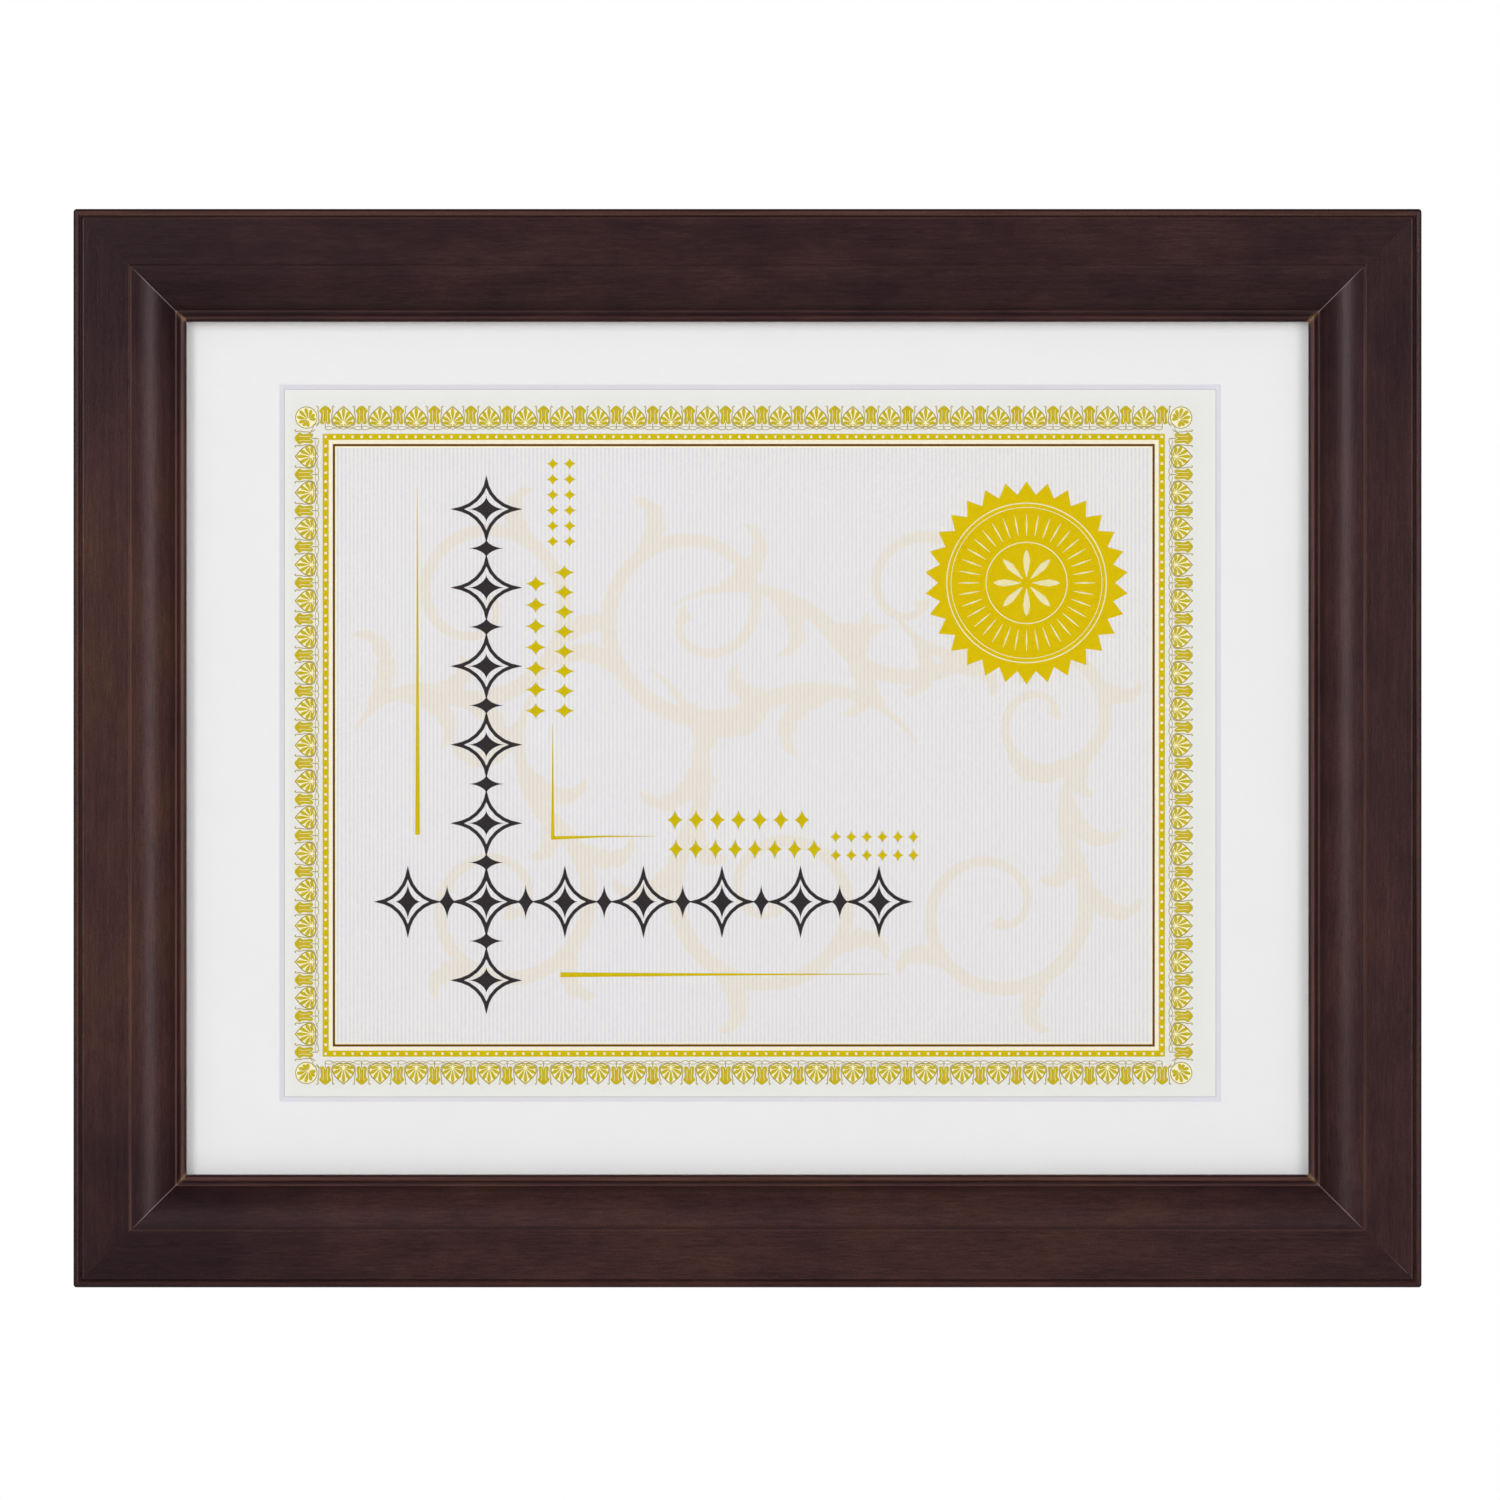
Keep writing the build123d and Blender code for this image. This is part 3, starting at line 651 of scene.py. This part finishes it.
def leaf(point, angle, length, bend, wide, level):
    """A leaf with a lobed edge, narrow where it leaves the stem and curled at its tip."""
    steps, lobes = 40, 5
    point, heading = point.copy(), math.radians(angle)
    path, widths = [], []
    for i in range(steps):
        share = i / (steps - 1)
        path.append(point.copy())
        body = (share + 0.12) ** 0.7 * (1.02 - share) ** 0.85 * 2.1
        lobe = 0.66 + 0.34 * abs(math.sin(math.pi * lobes * share ** 0.85)) ** 0.7
        widths.append(max(0.35, wide * body * lobe))
        point += Vector((math.cos(heading), math.sin(heading))) * length / steps
        heading += 2 * math.radians(bend) / steps * share
    stroke(scrolls, path, widths, level)


# Each coil's middle, radius, first angle, turns, hand, width and length of tail, then how far
# along each stem the leaves grow, and on which side
coils = [
    (-76, 42, 29, 250, 1.3, 1, 4.8, 32), (-14, 38, 31, -60, 1.35, -1, 5.0, 56),
    (48, 44, 26, 215, 1.25, 1, 4.6, 58), (84, 8, 21, 112, 1.25, -1, 4.2, 44),
    (-70, -44, 27, 50, 1.3, -1, 4.8, 50), (8, -42, 30, 150, 1.35, 1, 5.0, 60),
    (70, -46, 27, 28, 1.3, -1, 4.6, 48),
]
leaf_marks = ((4, -1), (8, 1), (16, 1), (23, 1), (31, 1), (13, -1))
leaf_angle, leaf_bend, leaf_share, leaf_loss = 24, 150, 1.35, 0.08
for i, (x, z, radius, start, turns, hand, wide, tail) in enumerate(coils):
    level = stem_face + next_stem * i
    path = winding(x, z, radius, start, turns, hand, wide, tail, level)
    for k, (mark, side) in enumerate(leaf_marks):
        ahead = path[mark + 1] - path[mark]
        leaf(path[mark], math.degrees(math.atan2(ahead.y, ahead.x)) - side * hand * leaf_angle,
             radius * (1.0 - leaf_loss * k), -side * hand * leaf_bend, wide * leaf_share,
             level + leaf_rise + next_leaf * k)
print_piece("certificate_scrolls", scrolls, scroll_ink)


def star(middle, along, tall, wide):
    """The outline of a four-pointed star with hollow sides, tall across its row."""
    across = Vector((-along.y, along.x))
    tips = [across * tall, along * wide, -across * tall, -along * wide]
    return [middle + a * (1 - t) ** 1.6 + b * t ** 1.6
            for a, b in zip(tips, tips[1:] + tips[:1]) for t in (0, 0.12, 0.3, 0.5, 0.7, 0.88)]


# Tapered gold rules, and rows of gold stars in three sizes
flat, upright = Vector((1, 0)), Vector((0, 1))
gold_rules = bmesh.new()
for path, widths in (
    ([(-93.6, 73.8), (-93.5, 20.0), (-93.5, -24.5)], [0.1, 0.75, 1.35]),
    ([(-53.0, -64.2), (-10.0, -64.1), (40.3, -64.0)], [1.35, 0.7, 0.1]),
    ([(-55.3, 7.0), (-55.2, -10.0), (-55.2, -25.9)], [0.1, 0.5, 1.0]),
    ([(-54.7, -25.4), (-40.0, -25.0), (-26.0, -24.9)], [1.0, 0.45, 0.1]),
):
    stroke(gold_rules, path, widths, rules_face)
for x, z, along, count, pitch, tall in (
    (-20.6, -20.3, flat, 7, 6.0, 3.2), (-20.3, -28.6, flat, 8, 5.6, 3.2),
    (25.0, -25.1, flat, 6, 4.4, 2.0), (25.0, -30.3, flat, 6, 4.4, 2.0),
    (-60.0, 10.6, upright, 7, 6.0, 3.2), (-51.9, 10.6, upright, 8, 5.6, 3.2),
    (-55.2, 58.6, upright, 6, 4.4, 2.0), (-50.4, 58.6, upright, 6, 4.4, 2.0),
):
    for i in range(count):
        spot = Vector((x, z)) + along * pitch * i
        patch(gold_rules, star(spot, along, tall, pitch * 0.4), small_stars)
print_piece("certificate_gold_rules", gold_rules, gold_ink)

# Two dark chains of outlined stars, with small ones between, that cross in a shared star
chains = bmesh.new()
chain_pitch = 22.25
for middle, along, level in ((Vector((-29.5, -43.5)), flat, lower_chain),
                             (Vector((-74.0, 1.0)), upright, upper_chain)):
    for i in range(-3, 4):
        spot = middle + along * chain_pitch * i
        stroke(chains, star(spot, along, 8.6, 8.0), 1.0, level, closed=True)
        patch(chains, star(spot, along, 5.0, 3.6), level + 0.002)
        if i < 3:
            patch(chains, star(spot + along * chain_pitch / 2, along, 5.0, 2.6), level)
print_piece("certificate_star_chains", chains, dark_ink)

# Seal: a toothed star of gold paper, 58 mm across, with plain rings and a rosette
seal_x, seal_z, seal_tip, seal_root, seal_teeth = 79.06, 46.85, 28.8, 25.1, 30
seal = bmesh.new()
teeth = []
for i in range(2 * seal_teeth):
    radius = seal_tip if i % 2 == 0 else seal_root
    angle = math.pi * i / seal_teeth
    teeth.append((seal_x + radius * math.sin(angle), seal_z + radius * math.cos(angle)))
patch(seal, teeth, seal_face)
print_piece("certificate_seal", seal, printed("gold_seal_paper", "#dfc300", "#dabd00", 420.0))
rings = bmesh.new()
for radius, width in ((22.6, 0.35), (21.4, 0.2), (11.5, 0.3)):
    stroke(rings, circle(seal_x, seal_z, radius, 72), width, seal_print, closed=True)
for count, reaches, widths in ((36, (13.4, 16.4, 19.4), [0.1, 0.5, 0.1]),
                               (8, (1.6, 4.0, 6.5, 8.4, 9.4), [0.15, 1.3, 2.0, 1.2, 0.1])):
    for ray in circle(0.0, 0.0, 1.0, count):
        path = [Vector((seal_x, seal_z)) + Vector(ray) * reach for reach in reaches]
        stroke(rings, path, widths, seal_print)
print_piece("certificate_seal_rings", rings, printed("pale_seal_ink", "#f3ecc4", "#ece2a8", 600.0))


# FILLER. A sheet of grey-brown chipboard, pressed from waste paper and cut to size. It packs
# the rabbet behind the certificate.

chipboard, tree, shader = finish("grey_chipboard", {"Specular IOR Level": 0.2, "Roughness": 0.9})
# Unsized waste-paper board: dull, speckled with darker fibre and the odd pale chip
place = add(tree, "TexCoord", {})["Object"]
fibre = add(tree, "TexNoise", {"Vector": place, "Scale": 700.0, "Detail": 5.0, "Roughness": 0.7})[0]
pulp = add(tree, "ValToRGB", {"Fac": fibre, "stops": [
    (0.32, linear("#6d6355")), (0.5, linear("#958a78")), (0.68, linear("#b3a993")),
]})[0]
relief = add(tree, "Bump", {"Height": fibre, "Strength": 0.3, "Distance": 0.0001})[0]
fill(tree, shader, {"Base Color": pulp, "Normal": relief})
nodes["filler_board"].material_slots[0].material = chipboard


# BACKING. A 3 mm hardboard panel, smooth face out, its edges eased so that it drops into the
# rabbet. The turn buttons press on it.

hardboard, tree, shader = finish("pressed_hardboard", {"Specular IOR Level": 0.35, "IOR": 1.48})
# Wood fibre pressed hot: toffee brown, clouded, flecked with darker fibre bundles 2 to 4 mm
# long, and polished a little by the platen
place = add(tree, "TexCoord", {})["Object"]
cloud = add(tree, "TexNoise", {"Vector": place, "Scale": 22.0, "Detail": 4.0, "Roughness": 0.6})[0]
ground = add(tree, "Mix", {"data_type": "RGBA", 0: cloud, 6: linear("#7b5a3a"), 7: linear("#8f6c48")})[2]
marks = []
for turn, scale in ((0.5, (450, 450, 2600)), (2.1, (2600, 450, 450))):
    stretched = add(tree, "Mapping", {"Vector": place, "Rotation": (0.0, turn, 0.0), "Scale": scale})[0]
    bundle = add(tree, "TexNoise", {"Vector": stretched, "Scale": 1.0, "Detail": 3.0})[0]
    marks.append(add(tree, "MapRange", {"Value": bundle, "range": (0.56, 0.72)})[0])
fleck = add(tree, "Math", {"operation": "MAXIMUM", 0: marks[0], 1: marks[1]})[0]
colour = add(tree, "Mix", {"data_type": "RGBA", 0: fleck, 6: ground, 7: linear("#4e3622")})[2]
rough = add(tree, "MapRange", {"Value": cloud, "range": (0, 1, 0.42, 0.6)})[0]
relief = add(tree, "Bump", {"Height": fleck, "Strength": 0.15, "Distance": 0.00005})[0]
fill(tree, shader, {"Base Color": colour, "Roughness": rough, "Normal": relief})
nodes["backing_board"].material_slots[0].material = hardboard


# TURN BUTTONS. Eight stamped strips of zinc-plated steel, each bent so that its tip can be
# caught with a finger. Each turns on its own screw.

zinc, tree, shader = finish("zinc_plated_steel", {"Metallic": 1.0})
# Bright zinc over rolled steel: cool grey with a faint milky spangle 4 mm wide and upright
# hairlines, duller in patches from handling
place = add(tree, "TexCoord", {})["Object"]
spangle = add(tree, "TexNoise", {"Vector": place, "Scale": 260.0, "Detail": 4.0})[0]
scratch = add(tree, "Mapping", {"Vector": place, "Scale": (4000.0, 4000.0, 350.0)})[0]
scratch = add(tree, "TexNoise", {"Vector": scratch, "Scale": 1.0, "Detail": 2.0})[0]
plate = add(tree, "ValToRGB", {"Fac": spangle, "stops": [
    (0.35, linear("#a3a6aa")), (0.55, linear("#bdc0c3")), (0.7, linear("#c9c9c6")),
]})[0]
rough = add(tree, "MapRange", {"Value": spangle, "range": (0, 1, 0.28, 0.5)})[0]
relief = add(tree, "Bump", {"Height": scratch, "Strength": 0.12, "Distance": 0.00004})[0]
fill(tree, shader, {"Base Color": plate, "Roughness": rough, "Normal": relief})
for name in nodes:
    if name.startswith("turn_button_"):
        nodes[name].material_slots[0].material = zinc


# SCREWS. Pan-head wood screws of the same zinc-plated steel, with a cross recess, one through
# each turn button into the rail. Their thread is out of sight in the wood.

# Half the frame's size and the height of its middle, in millimetres. A screw stands so far in
# from the outer edge, and at these shares of half a length from the middle of a rail.
half_size, middle_z = (cad_high - cad_low) * 500, panel_middle.z * 1000
pivot_inset, row_share, side_share = 17.65, 0.5, 0.4
# Their places, and the angle at which each recess was left
pivots = [(sx * half_size.x * row_share, middle_z + sz * (half_size.z - pivot_inset), turn)
          for sx in (-1, 1) for sz, turn in ((1, 20), (-1, 65))]
pivots += [(sx * (half_size.x - pivot_inset), middle_z + sz * half_size.z * side_share, turn)
           for sx in (-1, 1) for sz, turn in ((1, 40), (-1, 8))]
screw_profile = [(0.0, -11.0), (1.45, -8.0), (1.45, 1.2), (3.2, 1.2), (3.2, 1.65), (3.08, 2.05),
                 (2.75, 2.4), (2.2, 2.7), (1.5, 2.9), (0.75, 2.98), (0.0, 3.0)]
recess_wide, recess_long, recess_floor, recess_top, recess_taper = 0.42, 1.55, 1.9, 4.0, 0.55


def turned(profile, steps=40):
    """A closed solid turned on the Y axis, from its radii and places in millimetres."""
    made = bmesh.new()
    rows = []
    for radius, level in profile:
        spots = [(0.0, 0.0)] if radius == 0 else circle(0.0, 0.0, radius, steps)
        rows.append([made.verts.new((x / 1000, level / 1000, z / 1000)) for x, z in spots])
    for a, b in zip(rows, rows[1:]):
        for k in range(steps):
            j = (k + 1) % steps
            ends = [a[k % len(a)], a[j % len(a)], b[j % len(b)], b[k % len(b)]]
            made.faces.new(dict.fromkeys(ends))
    return made


one_screw = as_object("screw_blank", turned(screw_profile))
cross = bmesh.new()
for turn in (0, 1):
    arm = bmesh.ops.create_cube(cross, size=1.0)["verts"]
    for corner in arm:
        taper = 1.0 if corner.co.y > 0 else recess_taper
        x, z = corner.co.x * 2 * recess_long * taper, corner.co.z * 2 * recess_wide * taper
        x, z = (z, x) if turn else (x, z)
        corner.co = Vector((x, recess_floor if corner.co.y < 0 else recess_top, z)) / 1000
cutter = as_object("driver_cross", cross)
cut = one_screw.modifiers.new("recess", "BOOLEAN")
cut.object, cut.operation, cut.solver, cut.use_self = cutter, "DIFFERENCE", "EXACT", True
bpy.context.view_layer.update()
cut_screw = one_screw.evaluated_get(bpy.context.evaluated_depsgraph_get())
shaped = bpy.data.meshes.new_from_object(cut_screw)
screws = bmesh.new()
for x, z, turn in pivots:
    copy = shaped.copy()
    turned_round = Matrix.Rotation(math.radians(turn), 4, "Y")
    copy.transform(Matrix.Translation((x / 1000, 0, z / 1000)) @ turned_round)
    screws.from_mesh(copy)
for leftover in (one_screw, cutter):
    bpy.data.objects.remove(leftover)
pan_heads = piece("button_screws_pan_head", screws, zinc)
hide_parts("button_screws")


# HANGERS. Two sawtooth strips of brass-plated steel, one for each way up, with a raised
# toothed edge that rides on the wall nail.

brassed, tree, shader = finish("brass_plated_steel", {"Metallic": 1.0})
# A thin yellow plate over stamped steel: bright on the flats, browner and rougher where it
# has tarnished in clouds 3 to 5 mm wide
place = add(tree, "TexCoord", {})["Object"]
tarnish = add(tree, "TexNoise", {"Vector": place, "Scale": 240.0, "Detail": 4.0, "Roughness": 0.6})[0]
plate = add(tree, "ValToRGB", {"Fac": tarnish, "stops": [
    (0.34, linear("#a9843c")), (0.5, linear("#c39b4a")), (0.68, linear("#cfab5e")),
]})[0]
rough = add(tree, "MapRange", {"Value": tarnish, "range": (0, 1, 0.45, 0.26)})[0]
fill(tree, shader, {"Base Color": plate, "Roughness": rough})
for name in ("landscape_hanger", "portrait_hanger"):
    nodes[name].material_slots[0].material = brassed


# BRADS. Round-headed steel brads, brass-plated like the hangers. Two hold each hanger, driven
# through its tabs into the rail.

brad_profile = [(0.0, -11.0), (0.6, -11.0), (0.6, 0.9), (1.5, 0.9), (1.5, 1.05), (1.38, 1.25),
                (1.05, 1.4), (0.55, 1.48), (0.0, 1.5)]
# They stand this far to each side of a hanger's notch, and further out than it. One notch is
# the origin, and the other is as far in from the edge of its own rail.
brad_reach, brad_rise, notch_inset = 18.0, 2.5, cad_high.z * 1000
landscape = [(sign * brad_reach, brad_rise) for sign in (-1, 1)]
portrait = [(half_size.x - notch_inset + brad_rise, middle_z - sign * brad_reach) for sign in (-1, 1)]
for name, spots in (("landscape", landscape), ("portrait", portrait)):
    brads = bmesh.new()
    for x, z in spots:
        one = turned(brad_profile, steps=28)
        bmesh.ops.translate(one, verts=one.verts, vec=(x / 1000, 0, z / 1000))
        mesh = bpy.data.meshes.new("brad_blank")
        one.to_mesh(mesh)
        one.free()
        brads.from_mesh(mesh)
        bpy.data.meshes.remove(mesh)
    domed = piece(f"{name}_hanger_brads_domed", brads, brassed)
    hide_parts(f"{name}_hanger_brads")


# STUDIO. The frame hangs free over a pale floor, lit by a wide lamp over the camera, a tall
# soft one in front at each side, and one behind for the back. The first and the last have
# polarising filters, so that neither glass nor lacquer mirrors them.

floor_reach, floor_level = 4.5, -0.6
floor_shape = bmesh.new()
bmesh.ops.create_grid(floor_shape, x_segments=1, y_segments=1, size=floor_reach)
bmesh.ops.translate(floor_shape, verts=floor_shape.verts, vec=(0, 0, floor_level))
floor = as_object("floor", floor_shape)
pale, tree, shader = finish("pale_floor_paint", {"Roughness": 0.9, "Base Color": linear("#e8e8e6")})
floor.data.materials.append(pale)
# Mirrored, it would be too bright in the top rail's hollow, so no surface mirrors it
floor.visible_glossy = False

world = bpy.data.worlds.new("studio_air")
bpy.context.scene.world = world
world.use_nodes = True
air = world.node_tree
air.nodes.clear()
ray = add(air, "LightPath", {})
# Mirrored, the room is dark in front of the frame and pale behind it, less so higher up
way = add(air, "SeparateXYZ", {"Vector": add(air, "TexCoord", {})["Generated"]})
behind = add(air, "MapRange", {"Value": way["Z"], "range": (-0.1, 0.2, 1.1, 0.1)})[0]
mirrored = add(air, "MapRange", {"Value": way["Y"], "range": (0.0, 0.5, 0.02, behind)})[0]
# In place of the floor, a faint light from below shows in the hollow of the top rail
from_below = add(air, "MapRange", {"Value": way["Z"], "range": (-0.05, -0.5, 0, 0.2)})[0]
mirrored = add(air, "Math", {"operation": "ADD", 0: mirrored, 1: from_below})[0]
white = add(air, "Background", {"Color": grey(1), "Strength": 1.0})[0]
# Light from all round, more of it from above
height = add(air, "MapRange", {"Value": way["Z"], "range": (-1.0, 1, 0.02, 0.32)})[0]
soft = add(air, "Background", {"Color": grey(1), "Strength": height})[0]
dark = add(air, "Background", {"Color": grey(1), "Strength": mirrored})[0]
room = add(air, "MixShader", {0: ray["Is Glossy Ray"], 1: soft, 2: dark})[0]
both = add(air, "MixShader", {0: ray["Is Camera Ray"], 1: room, 2: white})[0]
add(air, "OutputWorld", {"Surface": both})
# Such an even light needs no sampling of its own
world.cycles.sampling_method = "NONE"


def lamp(name, spot, aim, width, height, power, mirrored=True):
    """An oval lamp with its size in metres and its power in watts."""
    made = bpy.data.lights.new(name, "AREA")
    made.shape, made.size, made.size_y, made.energy = "ELLIPSE", width, height, power
    shape = bpy.data.objects.new(name, made)
    bpy.context.scene.collection.objects.link(shape)
    shape.location = spot
    shape.rotation_mode = "QUATERNION"
    shape.rotation_quaternion = (Vector(aim) - Vector(spot)).to_track_quat("-Z", "Y")
    shape.visible_glossy, shape.visible_camera = mirrored, False


aim = (0.0, 0.0, panel_middle.z)
lamp("lamp_left", (-0.77, -1.4, 0.28), aim, 0.52, 1.1, 9.4)
lamp("lamp_right", (0.86, -1.4, 0.14), aim, 0.62, 1.3, 8.3)
lamp("lamp_over_camera", (0.0, -5.3, 0.1), aim, 2.4, 1.6, 69.0, mirrored=False)
lamp("lamp_behind", (-0.9, 2.0, 0.9), aim, 2.0, 1.6, 34.0, mirrored=False)

# A long lens five metres off, square to the glass and a hair off its middle
camera_away, camera_aside, camera_below = 5.02, 0.0007, 0.0005
camera = bpy.data.cameras.new("camera")
camera.sensor_width, camera.lens = 36.0, 424.7
camera.clip_start, camera.clip_end = 0.1, 60.0
viewer = bpy.data.objects.new("camera", camera)
bpy.context.scene.collection.objects.link(viewer)
viewer.location = (camera_aside, -camera_away, panel_middle.z - camera_below)
viewer.rotation_euler = (math.pi / 2, 0, 0)
bpy.context.scene.camera = viewer
bpy.context.scene.view_settings.view_transform = "Standard"
